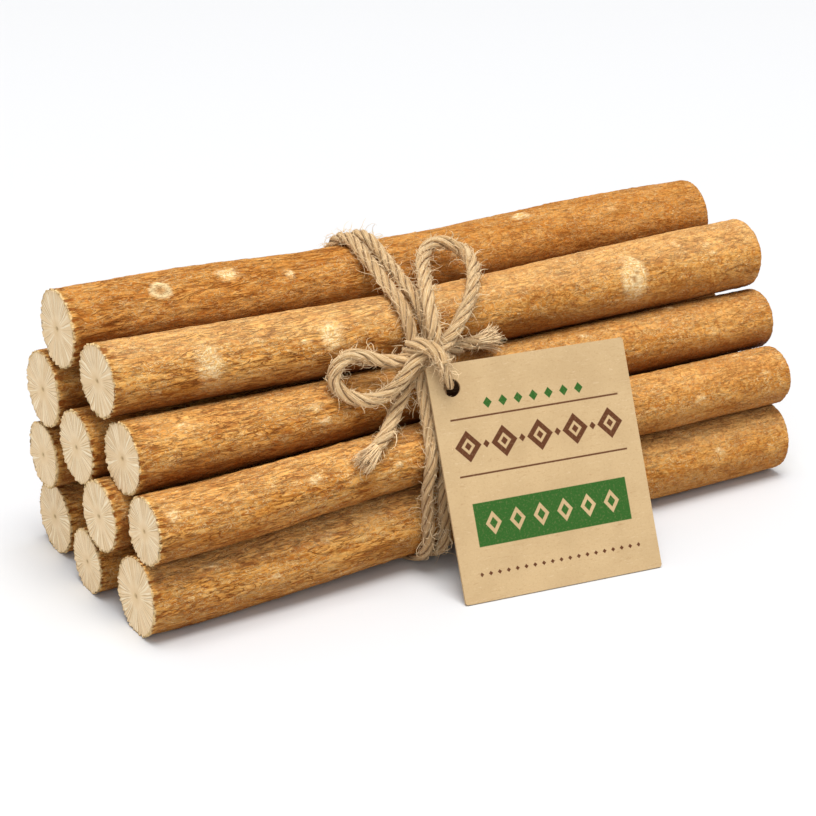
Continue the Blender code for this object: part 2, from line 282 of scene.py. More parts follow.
STRAY_MARGIN = 5  # mm from a cut without them
STRAY_SPANS = ((0.7, 1.6), (0.5, 1.0), (0.3, 0.8))  # of their reach along, reach round and strength
TINTS = {"stick_back_top": 1.0, "stick_front_top": 0.0, "stick_front_upper": 0.4,
         "stick_front_lower": 0.35, "stick_front_bottom": 0.15}  # 0 pale, 1 dark
OTHER_TINTS = (0.3, 0.8)


def frame_rings(node):
    """A frame stick's stations in mm, as rows of x, y, z and radius, and the slopes of its near cut."""
    flat = np.empty(3 * len(node.data.vertices))
    node.data.vertices.foreach_get("co", flat)
    points = np.unique(np.round(flat.reshape(-1, 3) / MM, 3), axis=0)
    rings = np.split(points, np.flatnonzero(np.diff(points[:, 0]) > RING_GAP) + 1)
    rows = []
    for ring in rings:
        middle = ring.mean(axis=0)
        reach = np.sort(np.hypot(ring[:, 1] - middle[1], ring[:, 2] - middle[2]))
        rows.append((*middle, reach[-STICK_FLATS:].mean()))
    near = rings[0]
    across = near[:, 1:] - near[:, 1:].mean(axis=0)
    inner = np.argsort(np.hypot(*across.T))[:STICK_FLATS]
    plane = np.column_stack((np.ones(STICK_FLATS), across[inner]))
    start, slope_y, slope_z = np.linalg.lstsq(plane, near[inner, 0], rcond=None)[0]
    rows = np.array(rows)
    rows[0, 0] = start
    rows[-1, 0] = rings[-1][:, 0].max()
    return rows, (slope_y, slope_z)


def through(x, places, values):
    """A smooth curve through values at places, read at x."""
    slopes = np.gradient(values, places)
    k = np.clip(np.searchsorted(places, x) - 1, 0, len(places) - 2)
    step = places[k + 1] - places[k]
    t = np.clip((x - places[k]) / step, 0.0, 1.0)
    return (values[k] * (1 + 2 * t) * (1 - t) ** 2 + slopes[k] * step * t * (1 - t) ** 2
            + values[k + 1] * t ** 2 * (3 - 2 * t) + slopes[k + 1] * step * t ** 2 * (t - 1))


def put(mesh, name, kind, values):
    """Store values on the points of a mesh."""
    field = {"FLOAT": "value", "FLOAT_VECTOR": "vector"}[kind]
    mesh.attributes.new(name, kind, "POINT").data.foreach_set(field, np.ravel(values))


def scar_field(x, angle, radius, scars):
    """How deep inside a scar each point is: 1 in its middle, 0 on its edge, below 0 outside it."""
    raised = np.full(x.shape, -1.0)
    sunken = np.full(x.shape, -1.0)
    for place, degrees, reach_along, reach_round, strength in scars:
        off = np.arctan2(np.sin(angle - math.radians(degrees)), np.cos(angle - math.radians(degrees)))
        distance = np.hypot((x - place) / reach_along, off * radius / reach_round)
        inside = (1.0 - distance) * abs(strength)
        if strength > 0:
            raised = np.maximum(raised, inside)
        else:
            sunken = np.maximum(sunken, inside)
    return raised, sunken


def neighbour_gap(name, points):
    """How far each point of a stick is from the skin of the nearest other stick, in mm."""
    gap = np.full(len(points), FAR_OFF)
    for other, line in stick_lines.items():
        if other != name:
            y, z, radius = (through(points[:, 0], line[:, 0], line[:, k]) for k in (1, 2, 3))
            gap = np.minimum(gap, np.hypot(points[:, 1] - y, points[:, 2] - z) - radius)
    return gap


def stick_base(name, number):
    """A smooth stick with rings of points: near cut, bark and far cut, and what the finish reads."""
    rows, slopes = frame_rings(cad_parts[name])
    start, end = rows[0, 0], rows[-1, 0]
    fine = END_FINE * np.linspace(0.0, 1.0, END_RINGS) ** END_CLOSER
    along = np.concatenate((start + fine, np.linspace(start + END_FINE, end - END_FINE, STICK_ALONG)[1:-1],
                            end - fine[::-1]))
    cut = np.array(CUT_RINGS)
    ring_x = np.concatenate((np.full(len(cut), start), along, np.full(len(cut), end)))
    share = np.concatenate((cut, np.ones(len(along)), cut[::-1]))
    y, z, radius = (through(ring_x, rows[:, 0], rows[:, k]) for k in (1, 2, 3))
    first, last = len(cut), len(cut) + len(along) - 1
    share[:first + 1] *= 1.0 - RIM_ROUND / radius[first]
    into = np.clip(1.0 - (end - ring_x) / FAR_ROUND, 0.0, 1.0)
    share *= 1.0 - FAR_ROUND / radius * (1.0 - np.sqrt(1.0 - into ** 2))

    angle = np.arange(STICK_AROUND) * 2 * math.pi / STICK_AROUND
    side = (share * radius)[:, None] * np.cos(angle)
    up = (share * radius)[:, None] * np.sin(angle)
    fade = np.clip(1.0 - (ring_x - start) / CUT_FADE, 0.0, 1.0)[:, None]
    x = ring_x[:, None] + fade * (side * slopes[0] + up * slopes[1])
    points = np.stack((x, y[:, None] + side, z[:, None] + up), axis=-1).reshape(-1, 3)
    centres = [(start, y[0], z[0]), (end, y[-1], z[-1])]
    count = len(ring_x)
    near_middle, far_middle = count * STICK_AROUND, count * STICK_AROUND + 1

    quads = []
    for i in range(count - 1):
        for j in range(STICK_AROUND):
            k = (j + 1) % STICK_AROUND
            quads.append((i * STICK_AROUND + j, i * STICK_AROUND + k,
                          (i + 1) * STICK_AROUND + k, (i + 1) * STICK_AROUND + j))
    last_ring = (count - 1) * STICK_AROUND
    fans = []
    for j in range(STICK_AROUND):
        k = (j + 1) % STICK_AROUND
        fans.append((near_middle, k, j))
        fans.append((far_middle, last_ring + j, last_ring + k))
    mesh = bpy.data.meshes.new(name)
    mesh.from_pydata((np.vstack((points, centres)) * MM).tolist(), [], quads + fans)

    chance = random.Random(STRAY_SEED + number)
    scars = list(SCARS[name])
    for _ in range(STRAY_SCARS):
        scars.append((chance.uniform(start + STRAY_MARGIN, end - STRAY_MARGIN), chance.uniform(0, 360),
                      *(chance.uniform(*span) for span in STRAY_SPANS)))
    grid_angle = np.broadcast_to(angle, x.shape)
    raised, sunken = scar_field(x, grid_angle, radius[:, None], scars)
    on_bark = np.zeros(count)
    on_bark[first:last + 1] = 1.0
    outward = np.stack((np.zeros_like(x), np.cos(grid_angle), np.sin(grid_angle)), axis=-1)
    edge_distance = np.minimum(x - x[0], x[-1] - x) * on_bark[:, None]
    cut_side = np.where(np.arange(count) < first, -1.0, 0.0) + np.where(np.arange(count) > last, 1.0, 0.0)
    cut_side[first], cut_side[last] = -1.0, 1.0
    place = np.stack((side, up, np.zeros_like(x)), axis=-1) / radius[:, None, None]

    # The painted shade in the crevices is read from this: the gap to the nearest other stick, widened where
    # the bark faces up.
    crevice = neighbour_gap(name, points).reshape(x.shape) + UNSHADED_UP_GAP * np.clip(outward[:, :, 2] - 0.1, 0, 1)
    crumpled = np.clip((x - CRUMPLED[0]) / (CRUMPLED[1] - CRUMPLED[0]), 0, 1)
    near_cut = np.where(x < (start + end) / 2, 1.0, 0.0)
    # What is stored on the rings, and its values at the middles of the near and the far cut.
    fields = {
        "outward": (outward * on_bark[:, None, None], (0, 0, 0), (0, 0, 0)),
        "cut_place": (place, (0, 0, 0), (0, 0, 0)),
        "cut_side": (np.repeat(cut_side, STICK_AROUND), -1, 1),
        "raised_scar": (raised, -1, -1),
        "sunken_scar": (sunken, -1, -1),
        "edge_distance": (edge_distance, 0, 0),
        "crevice": (crevice, FAR_OFF, FAR_OFF),
        "crumpled": (crumpled, 0, 1),
        "on_bark": (np.repeat(on_bark, STICK_AROUND), 0, 0),
        "near_cut": (near_cut, 1, 0),
    }
    for field, (values, near, far) in fields.items():
        put(mesh, field, "FLOAT" if np.isscalar(near) else "FLOAT_VECTOR",
            np.concatenate((np.ravel(values), np.ravel(near), np.ravel(far))))
    put(mesh, "tint", "FLOAT", np.full(len(mesh.vertices), TINTS.get(name, chance.uniform(*OTHER_TINTS))))
    return mesh


def new_tree(name, sockets):
    """A Geometry Nodes tree with a geometry in and out and these named inputs, and a wire to start from."""
    tree = bpy.data.node_groups.new(name, "GeometryNodeTree")
    tree.interface.new_socket("Geometry", in_out="OUTPUT", socket_type="NodeSocketGeometry")
    tree.interface.new_socket("Geometry", in_out="INPUT", socket_type="NodeSocketGeometry")
    for socket, (kind, value) in sockets.items():
        made = tree.interface.new_socket(socket, in_out="INPUT", socket_type="NodeSocket" + kind)
        if value is not None:
            made.default_value = value
    return tree, Wire(tree).add("NodeGroupInput", out="Geometry")


def end_tree(shape, *coats):
    """Close a tree: smooth, real faces go out, with each material on the faces that its mask picks."""
    shape = shape.add("GeometryNodeSetShadeSmooth", {"Geometry": shape})
    shape = shape.add("GeometryNodeRealizeInstances", {"Geometry": shape})
    for material, faces in coats:
        shape = shape.add("GeometryNodeSetMaterial", {
            "Geometry": shape, "Selection": faces, "Material": material})
    out = shape.tree.nodes.new("NodeGroupOutput")
    shape.tree.links.new(shape.socket, out.inputs[0])


def grown(base, tree, values):
    """The plain mesh that a tree makes from a base object, which is then removed."""
    step = base.modifiers.new(tree.name, "NODES")
    step.node_group = tree
    names = {item.name: item.identifier for item in tree.interface.items_tree if item.in_out == "INPUT"}
    for name, value in values.items():
        step[names[name]] = value
    depsgraph = bpy.context.evaluated_depsgraph_get()
    mesh = bpy.data.meshes.new_from_object(base.evaluated_get(depsgraph), depsgraph=depsgraph,
                                           preserve_all_data_layers=True)
    bpy.data.objects.remove(base)
    return mesh


def lay_on_table(mesh):
    """Press what would be below the table flat on it."""
    flat = np.empty(3 * len(mesh.vertices))
    mesh.vertices.foreach_get("co", flat)
    flat[2::3] = np.maximum(flat[2::3], 0.0)
    mesh.vertices.foreach_set("co", flat)
    mesh.update()


def read(wire, name, kind="FLOAT"):
    """A named attribute in a Geometry Nodes tree."""
    return wire.add("GeometryNodeInputNamedAttribute", {"Name": name}, data_type=kind)


def store(shape, name, value, kind="FLOAT"):
    return shape.add("GeometryNodeStoreNamedAttribute", {"Geometry": shape, "Name": name, "Value": value},
                     data_type=kind, domain="POINT")


def root_tree():
    """Bark relief, ragged rims and rough cuts on a smooth stick."""
    tree, shape = new_tree("weathered_root", {
        "Lumps": ("Float", 0.8), "Ridges": ("Float", 0.55), "Wrinkles": ("Float", 0.5),
        "Furrows": ("Float", 0.22), "Scars": ("Float", 0.22), "Ragged": ("Float", 0.42),
        "Rays": ("Float", 0.05), "Seed": ("Float", 0.0), "Bark": ("Material", None),
        "Cut Wood": ("Material", None)})
    knob = {item.name: shape.output(item.name) for item in tree.interface.items_tree
            if item.in_out == "INPUT" and item.name != "Geometry"}
    place = shape.add("GeometryNodeInputPosition").vector("SCALE", scale=1 / MM)
    seed = shape.add("ShaderNodeCombineXYZ", {0: knob["Seed"], 1: knob["Seed"] * 1.7, 2: knob["Seed"] * 0.6})
    place = place.vector("ADD", seed)
    on_bark = read(shape, "on_bark")
    raised = read(shape, "raised_scar")
    sunken = read(shape, "sunken_scar")
    edge = read(shape, "edge_distance")
    scar_edge = place.noise((1.8, 1.3, 1.3), detail=3.0, roughness=0.65, distortion=0.8) * 1.8 - 0.9
    scar = (raised + scar_edge).ramp(0.08, 0.62)
    dimple = (sunken + scar_edge * 0.3).ramp(0.42, 0.75)
    collar = (sunken + scar_edge * 0.3).ramp(0.0, 0.22)

    lumps = place.noise((30.0, 9.0, 9.0), detail=1.0) - 0.5
    crumpled = read(shape, "crumpled")
    ridges = place.noise((11.0, 2.2, 2.2), detail=2.0, distortion=0.8) - 0.5
    ridges = ridges * (1.0 - 0.5 * crumpled)
    wrinkles = place.noise((2.6, 1.0, 1.0), detail=2.0, roughness=0.6, distortion=1.2) - 0.5
    dents = place.noise((1.5, 1.3, 1.3), detail=2.0, roughness=0.6, distortion=1.6) - 0.5
    wrinkles = wrinkles * (1.0 - crumpled) + dents * crumpled
    cracks = abs(place.noise((9.0, 1.9, 1.9), detail=1.0, distortion=1.2, offset=(7.0, 3.0, 1.0)) - 0.5)
    patches = place.noise((20.0, 5.0, 5.0), offset=(3.0, 8.0, 2.0)).ramp(0.38, 0.62)
    furrow = cracks.ramp(0.035, 0.0) * patches
    relief = (lumps * knob["Lumps"] + ridges * knob["Ridges"] + wrinkles * knob["Wrinkles"]
              - furrow * knob["Furrows"]) * (1.0 - 0.7 * scar) + scar * knob["Scars"]
    relief = relief + (collar - dimple * 1.6) * knob["Scars"]
    fray = place.noise((1.4, 0.55, 0.55), detail=1.0).ramp(0.40, 0.60)
    near_cut = read(shape, "near_cut")
    lip = edge.ramp(1.0, 0.0) * (fray - 0.5) * near_cut * knob["Ragged"]
    outward = read(shape, "outward", "FLOAT_VECTOR")
    moved = outward.vector("SCALE", scale=(relief + lip) * MM)

    spot = read(shape, "cut_place", "FLOAT_VECTOR")
    radius = spot.vector("LENGTH").output("Value")
    spin = spot.vector("NORMALIZE").vector("SCALE", scale=9.0).vector("ADD", seed)
    rays = spin.add("ShaderNodeTexNoise", {"Vector": spin, "Scale": 1.5, "Detail": 2.0}) - 0.5
    saw = place.noise((9.0, 0.7, 0.7), detail=2.0) - 0.5
    teeth = radius.ramp(0.90, 1.0) * (fray - 0.5) * near_cut * knob["Ragged"]
    rough = rays * knob["Rays"] * radius + saw * 0.1 + teeth - radius.ramp(0.10, 0.0) * 0.2
    cut_side = read(shape, "cut_side")
    pushed = shape.add("ShaderNodeCombineXYZ", {0: rough * cut_side * MM})
    shape = shape.add("GeometryNodeSetPosition", {"Geometry": shape, "Offset": moved.vector("ADD", pushed)})
    for name, value in {"hollow": furrow * (1.0 - scar), "height": ridges + wrinkles * 0.6, "scar": scar,
                        "dimple": dimple, "collar": collar}.items():
        shape = store(shape, name, value * on_bark)
    faces_in = abs(cut_side) * (1.0 - edge.ramp(0.0, 0.02))
    is_cut = shape.add("FunctionNodeCompare", {0: faces_in, 1: 0.5}, data_type="FLOAT",
                       operation="GREATER_THAN")
    end_tree(shape, (knob["Bark"], True), (knob["Cut Wood"], is_cut))
    return tree


def bark_look():
    """Golden tan bark with lengthwise flecks, dark pits, worn ridges and pale scars, with painted shade in
    the crevices, on the underside and behind the tag's hole, and painted light on top.
    """
    made, start = finish("bark_look", Roughness=0.72, Specular_IOR_Level=0.1)
    place = start.place()

    def lines(stretch, wide, **settings):
        """Thin winding lines, where the noise crosses its middle."""
        return abs(place.noise(stretch, detail=2.0, **settings) - 0.5).ramp(wide, 0.0)

    mottle = place.noise((12.0, 5.0, 5.0), detail=3.0, distortion=0.6)
    streaks = place.noise((9.0, 1.3, 1.3), detail=3.0, roughness=0.6, distortion=0.9)
    crumpled = (start.field("crumpled") * 1.6 + mottle - 0.8).ramp(0.0, 1.0)
    vigour = 1.0 - 0.1 * crumpled
    combed = place.noise((3.2, 0.85, 0.85), detail=3.0, roughness=0.6, distortion=1.4, offset=(5.0, 1.0, 9.0))
    dented = place.noise((1.9, 1.5, 1.5), detail=3.0, roughness=0.55, distortion=1.8, offset=(1.0, 5.0, 2.0))
    hollows = combed * (1.0 - crumpled) + dented * crumpled
    patches = place.noise((9.0, 3.5, 3.5), detail=2.0, distortion=0.8, offset=(8.0, 2.0, 5.0))
    grit = place.noise((0.8, 0.48, 0.48), detail=2.0, roughness=0.6, offset=(2.0, 6.0, 4.0))
    strokes = place.noise((3.4, 0.8, 0.8), detail=3.0, roughness=0.6, offset=(3.0, 3.0, 8.0)).ramp(0.44, 0.60)
    pale_lines = lines((2.1, 1.2, 1.2), 0.05, distortion=2.2, offset=(4.0, 4.0, 0.0))
    dark_lines = lines((7.0, 1.25, 1.25), 0.05, distortion=1.3, offset=(1.0, 7.0, 3.0))
    crinkle = lines((2.4, 2.2, 2.2), 0.10, distortion=2.6, offset=(1.0, 3.0, 3.0))
    low = (start.field("height") * -1.0).ramp(0.04, 0.30)
    tint = start.field("tint")
    scar = start.field("scar")
    up = start.field("outward", "Vector").axis("Z")
    gap = start.field("crevice") + mottle * 1.2
    edge = start.field("edge_distance")
    near_cut = start.field("near_cut")
    rim = (edge + grit * 1.4 - strokes).ramp(2.4, 1.0) * near_cut
    lip = (edge + strokes * 0.4).ramp(0.75, 0.25) * near_cut
    to_shade = place.vector("SUBTRACT", HOLE_SHADE).vector("LENGTH").output("Value")
    colour = mottle.ramp(0.34, 0.66).mix(paint(206, 137, 56), paint(234, 169, 86)).under(
        (hollows.ramp(0.50, 0.62) * vigour * 0.8, (172, 100, 34)),  # pits, and the skin between them
        (hollows.ramp(0.46, 0.36) * vigour * 0.65, (247, 195, 116)),
        (streaks.ramp(0.54, 0.68) * (0.7 - 0.5 * crumpled), (146, 76, 18)),
        (pale_lines * patches.ramp(0.34, 0.55) * 0.75, (252, 216, 154)),
        (dark_lines * patches.ramp(0.62, 0.42) * (0.85 - 0.65 * crumpled), (126, 64, 12)),
        (grit.ramp(0.56, 0.68) * 0.15, (248, 210, 148)),
        (grit.ramp(0.42, 0.32) * 0.2, (150, 82, 22)),
        (low * 0.45, (156, 88, 26)),
        (start.field("hollow") * 0.7, (112, 60, 16)),
        (tint * 0.3 + crumpled * 0.13, (170, 100, 34)),
        (scar * (0.55 + 0.4 * hollows.ramp(0.56, 0.44)),
         crinkle.mix(paint(232, 186, 118), paint(252, 228, 178))),
        (start.field("collar"), (240, 210, 156)),
        (start.field("dimple") * 0.8, (180, 120, 56)),
        (up.ramp(0.35, 0.85) * (1.0 - tint) * (1.0 - tint) * 0.2, (250, 210, 150)),  # painted light: lighter where the bark faces up
        # painted shade: darker where the bark faces down
        (up.ramp(0.3, -0.4) * 0.35, (122, 58, 8)),
        (gap.ramp(CREVICE_REACH * 1.8, CREVICE_REACH * 0.5) * 0.3, (128, 68, 14)),  # painted shade in the crevices, darkest where the sticks touch
        (gap.ramp(CREVICE_REACH, 0.6) * 0.7, (116, 54, 8)),
        (gap.ramp(CREVICE_REACH * 0.4, 0.3) * 0.9, (24, 10, 2)),
        (rim * 0.8, strokes.mix(paint(234, 172, 88), paint(138, 70, 14))),  # torn at the near cut
        (lip, (246, 212, 154)),
        # painted shade on the bark behind the tag's hole
        (to_shade.ramp(SHADE_FADES, SHADE_FULL) * 0.95, (20, 9, 2)))
    plug(made, "Base Color", colour)
    height = ((hollows * -0.9 + pale_lines * 0.3 - dark_lines * 0.45 - streaks * 0.4 + grit * 0.2)
              * (1.0 - 0.4 * scar) - strokes * rim * 0.6)
    emboss(made, 0.95, 0.32, height * vigour)
    plug(made, "Roughness", 0.62 + 0.2 * mottle)
    return made


def cut_wood_look():
    """Sawn root: cream wood with fine dark pores in rays round a small brown pith."""
    made, start = finish("cut_wood_look", Roughness=0.8, Specular_IOR_Level=0.25)
    spot = start.field("cut_place", "Vector")
    tint = start.field("tint")
    radius = spot.vector("LENGTH").output("Value")
    layer = start.add("ShaderNodeCombineXYZ", {2: radius + tint * 40.0})
    round_pith = spot.vector("NORMALIZE").vector("SCALE", scale=3.0).vector("ADD", layer)
    wander = start.add("ShaderNodeTexNoise", {"Vector": round_pith, "Scale": 1.0, "Detail": 2.0})
    turn = spot.axis("Y").maths("ARCTAN2", spot.axis("X")) * (0.5 / math.pi)

    def dashes(count, thin, wide, middle):
        """Short lines along the radius, one in each of count slices, of random reach and strength."""
        slices = turn * count + wander * 2.5
        number = slices.maths("FLOOR")
        chance = start.add("ShaderNodeTexWhiteNoise", {"W": number + tint * 70.0}, out="Value",
                           noise_dimensions="1D")
        line = abs(slices - number - 0.5).ramp(wide, thin)
        reach = abs(radius - middle - chance * 0.2).ramp(0.42, 0.22)
        return line * reach * chance.ramp(0.1, 0.7)

    dark_rays = dashes(64.0, 0.05, 0.20, 0.56)
    pale_rays = dashes(44.0, 0.10, 0.34, 0.45)
    place = start.place()
    cloud = place.noise((3.0, 3.0, 3.0), detail=3.0)
    pores = place.noise((0.25, 0.25, 0.25), detail=1.0)
    from_pith = spot.vector("MULTIPLY", (0.75, 1.0, 1.0)).vector("LENGTH").output("Value")
    colour = cloud.ramp(0.3, 0.7).mix(paint(230, 200, 156), paint(237, 209, 168)).under(
        (wander.ramp(0.5, 0.64) * radius * 0.25, (218, 184, 136)),
        (pale_rays * 0.7, (255, 240, 208)),
        (dark_rays * 0.7, (178, 142, 94)),
        (pores.ramp(0.6, 0.7) * 0.15, (190, 156, 108)),
        (radius.ramp(0.28, 0.05) * 0.35, (212, 180, 132)),
        ((from_pith + pores * 0.06).ramp(0.12, 0.04) * 0.7, (140, 110, 62)),
        ((radius + pores * 0.05).ramp(0.975, 1.01) * 0.5, (240, 206, 148)))
    plug(made, "Base Color", colour)
    emboss(made, 0.5, 0.2, (pale_rays - dark_rays) * 0.5 + pores * 0.25)
    return made


weathered_root = root_tree()
bark = bark_look()
cut_wood = cut_wood_look()
stick_lines = {name: frame_rings(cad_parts[name])[0] for name in sorted(SCARS)}
for number, name in enumerate(stick_lines):
    base = add_object("plain_" + name, stick_base(name, number))
    mesh = grown(base, weathered_root, {"Seed": 37.0 * number, "Bark": bark, "Cut Wood": cut_wood})
    stick = add_object("bark_" + name, mesh)
    lay_on_table(mesh)
    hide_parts(name)
    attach(stick, "root")


# The twine
# Jute yarn of four plies. Two turns go round the bundle side by side, and a bow is tied in front of
# them, with a knot, two loops and two frayed tails. A thin end goes through the hole in the tag.
BUNDLE_SHIFT = Vector((0.44, -9.30, 0.0))  # from the middle of the front bottom stick's line to the frame
TWINE, TAG_END = 2.9, 2.3  # thickness, and that of the end at the tag
TURN_WIDE, PRESSED = 2.7, 2.55  # width and thickness where a turn lies on the sticks
SQUASHED = 1.25  # thickness under the bundle
UNDER_FROM, UNDER_FULL = 0.48, 0.88  # how much down a turn faces where that starts, and where it is full
SKIN_GAP = 0.2  # between a stick of the frame and the twine on it, for the bark's relief
TURN_X = (-14.5, -10.8)
TURN_SWAY = ((6.0, 18.0, 32.0, 45.0), (-2.3, -2.7, 0.0, 1.56))  # heights, and how far aside a turn lies there
SKIN_SIDES = 36
TWINE_STEP = 0.6
PLIES, PLY_SIDES = 4, 8
PLY_SIZE, PLY_REACH = 0.46, 0.53  # radius of a ply and of its path, as shares of the twine's
LAY_LENGTH = 15.0  # mm for one full twist of the plies
THINNED = {  # mm that stay thin at the end, mm over which a strand thins, and to what share
    "tail_left": (0.0, 3.2, 0.3), "tail_right": (0.0, 3.2, 0.3), "tag_end": (5.5, 4.5, 0.6)}
FRAYED = {"tail_left": (0.0, 0.03), "tail_right": (2.4, 0.16)}  # mm cut off, and curl of the bundles
BARE = {"tag_end": 15}  # points of its path without hairs, from inside the tag's hole on
FRAY_WIDE = 1.3  # mm from the middle of a tail to its outermost bundles

ROUTES = {
    "loop_up": (
        (-11.5, 0.5, 42.5), (-10.6, 1.0, 46.5), (-9.6, 4.2, 49.8), (-7.6, 9.0, 52.4), (-4.3, 15.5, 54.2),
        (-0.8, 20.4, 55.2), (2.2, 21.8, 56.2), (5.4, 21.0, 55.8), (8.0, 19.0, 54.0), (7.0, 14.6, 52.8),
        (4.0, 9.8, 51.8), (1.0, 6.3, 49.8), (-2.6, 3.9, 46.9), (-6.2, 1.9, 44.6), (-10.0, 0.6, 42.5)),
    "loop_left": (
        (-12.0, 0.6, 42.5), (-15.8, 0.6, 42.3), (-19.0, 3.0, 41.6), (-21.8, 4.3, 42.1), (-24.8, 4.6, 43.4),
        (-27.8, 4.8, 43.6), (-30.0, 4.8, 42.0), (-30.8, 4.6, 39.6), (-30.0, 3.4, 37.6), (-27.8, 1.8, 36.2),
        (-24.8, 0.6, 35.6), (-21.6, 0.0, 36.6), (-18.8, -0.9, 39.2), (-16.7, -1.0, 41.8),
        (-13.4, -0.2, 44.0)),
    "tail_left": (
        (-12.5, 1.2, 41.5), (-15.2, 1.6, 38.2), (-17.6, 0.6, 35.4), (-20.0, -0.2, 32.2),
        (-23.0, -2.6, 30.0), (-27.0, -5.2, 28.6), (-31.0, -7.0, 27.2)),
    "tail_right": (
        (-11.5, 1.5, 42.0), (-6.0, 3.2, 40.9), (-2.4, 4.7, 40.7), (1.6, 5.5, 40.5), (5.4, 5.4, 40.5),
        (9.0, 5.6, 40.3)),
    "crossing": (
        (-15.2, 3.0, 43.4), (-15.5, 1.0, 44.8), (-14.5, -1.2, 45.5), (-13.2, -3.1, 44.8),
        (-12.4, -4.3, 43.6), (-12.1, -4.9, 42.6)),
    "tag_end": (
        (-12.6, -3.6, 44.0), (-12.2, -5.0, 42.0), (-12.0, -5.5, 40.3), (-11.4, -5.7, 38.9),
        (-10.8, -5.4, 37.9), (-10.4, -4.5, 37.4), (-10.1, -3.2, 36.8), (-10.3, -1.4, 36.4),
        (-10.8, 0.6, 36.0)),
}


def respaced(points, step, closed=False):
    """Points at equal spacing along a path, about step apart."""
    path = np.array([*points, points[0]] if closed else points, dtype=float)
    lengths = np.concatenate(([0.0], np.cumsum(np.linalg.norm(np.diff(path, axis=0), axis=1))))
    count = max(2, round(lengths[-1] / step))
    wanted = lengths[-1] * np.arange(count if closed else count + 1) / count
    return np.column_stack([np.interp(wanted, lengths, path[:, k]) for k in range(3)])


def curved(points, step, parts=12):
    """A smooth path through given points, as evenly spaced points."""
    points = [np.array(p) for p in points]
    ends = [2 * points[0] - points[1], *points, 2 * points[-1] - points[-2]]
    fine = []
    for a, b, c, d in zip(ends, ends[1:], ends[2:], ends[3:]):
        for t in (i / parts for i in range(parts)):
            fine.append(0.5 * (2 * b + (c - a) * t + (2 * a - 5 * b + 4 * c - d) * t ** 2
                               + (3 * b - a - 3 * c + d) * t ** 3))
    return respaced([*fine, points[-1]], step)


def hull(points):
    """The convex outline round points in a plane, anticlockwise."""
    points = sorted(set(points))
    outline = []
    for row in (points, points[::-1]):
        side = []
        for point in row:
            while len(side) > 1 and ((side[-1][0] - side[-2][0]) * (point[1] - side[-1][1])
                                     <= (side[-1][1] - side[-2][1]) * (point[0] - side[-1][0])):
                side.pop()
            side.append(point)
        outline += side[:-1]
    return outline


def unit(vectors):
    return vectors / np.linalg.norm(vectors, axis=-1, keepdims=True)


def turn_x(middle_x, height):
    """Where a turn crosses this height."""
    return middle_x + np.interp(height, *TURN_SWAY)


def turn_strand(middle_x):
    """One turn round the outline of the sticks, squashed where they lie on it."""
    skin = []
    for line in stick_lines.values():
        x = turn_x(middle_x, np.interp(TURN_X[0], line[:, 0], line[:, 2])) + BUNDLE_SHIFT.x
        y, z, radius = (float(through(np.array([x]), line[:, 0], line[:, k])[0]) for k in (1, 2, 3))
        for angle in (2 * math.pi * i / SKIN_SIDES for i in range(SKIN_SIDES)):
            reach = radius + SKIN_GAP
            skin.append((y + reach * math.cos(angle), z + reach * math.sin(angle)))
    outline = respaced([(0.0, y, z) for y, z in hull(skin)], TWINE_STEP, closed=True)
    ahead = unit(np.roll(outline, -1, axis=0) - np.roll(outline, 1, axis=0))
    outward = np.column_stack((np.zeros(len(ahead)), ahead[:, 2], -ahead[:, 1]))
    under = np.clip((-outward[:, 2] - UNDER_FROM) / (UNDER_FULL - UNDER_FROM), 0.0, 1.0)
    half = 0.5 * (PRESSED + (SQUASHED - PRESSED) * under)
    path = outline + outward * half[:, None]
    path[:, 0] = turn_x(middle_x, path[:, 2]) + BUNDLE_SHIFT.x
    across = np.broadcast_to((1.0, 0.0, 0.0), path.shape)
    return dict(path=path, outward=outward, across=across, thick=np.full(len(path), TURN_WIDE / 2),
                squash=half / (TURN_WIDE / 2), closed=True, bare=0)


def free_strand(name, route):
    """A strand along a smooth path, with directions across it that don't twist."""
    path = curved(route, TWINE_STEP) + np.array(BUNDLE_SHIFT)
    if name in FRAYED:
        path = path[:len(path) - round(FRAYED[name][0] / TWINE_STEP)]
    ahead = unit(np.gradient(path, axis=0))
    across = np.empty_like(path)
    thick = np.full(len(path), (TAG_END if name == "tag_end" else TWINE) / 2)
    if name in THINNED:
        flat, taper, share = THINNED[name]
        to_end = TWINE_STEP * (len(path) - 1 - np.arange(len(path))) - flat
        thick *= share + (1.0 - share) * np.clip(to_end / taper, 0.0, 1.0)
    last = np.array((0.0, 0.0, 1.0))
    for i, way in enumerate(ahead):
        last = unit(last - way * last.dot(way))
        across[i] = last
    return dict(path=path, outward=np.cross(ahead, across), across=across,
                thick=thick, squash=np.ones(len(path)), closed=False, bare=BARE.get(name, 0))


def line_mesh(name, strands, **fields):
    """Strands as chains of edges, with what their tree reads stored on the points."""
    points = np.vstack([s["path"] for s in strands])
    edges, start = [], 0
    for strand in strands:
        count = len(strand["path"])
        edges += [(start + i, start + i + 1) for i in range(count - 1)]
        if strand["closed"]:
            edges.append((start + count - 1, start))
        start += count
    mesh = bpy.data.meshes.new(name)
    mesh.from_pydata((points * MM).tolist(), edges, [])
    for field, kind in fields.items():
        values = np.concatenate([np.ravel(s[field]) for s in strands])
        put(mesh, field, kind, values)
    return mesh


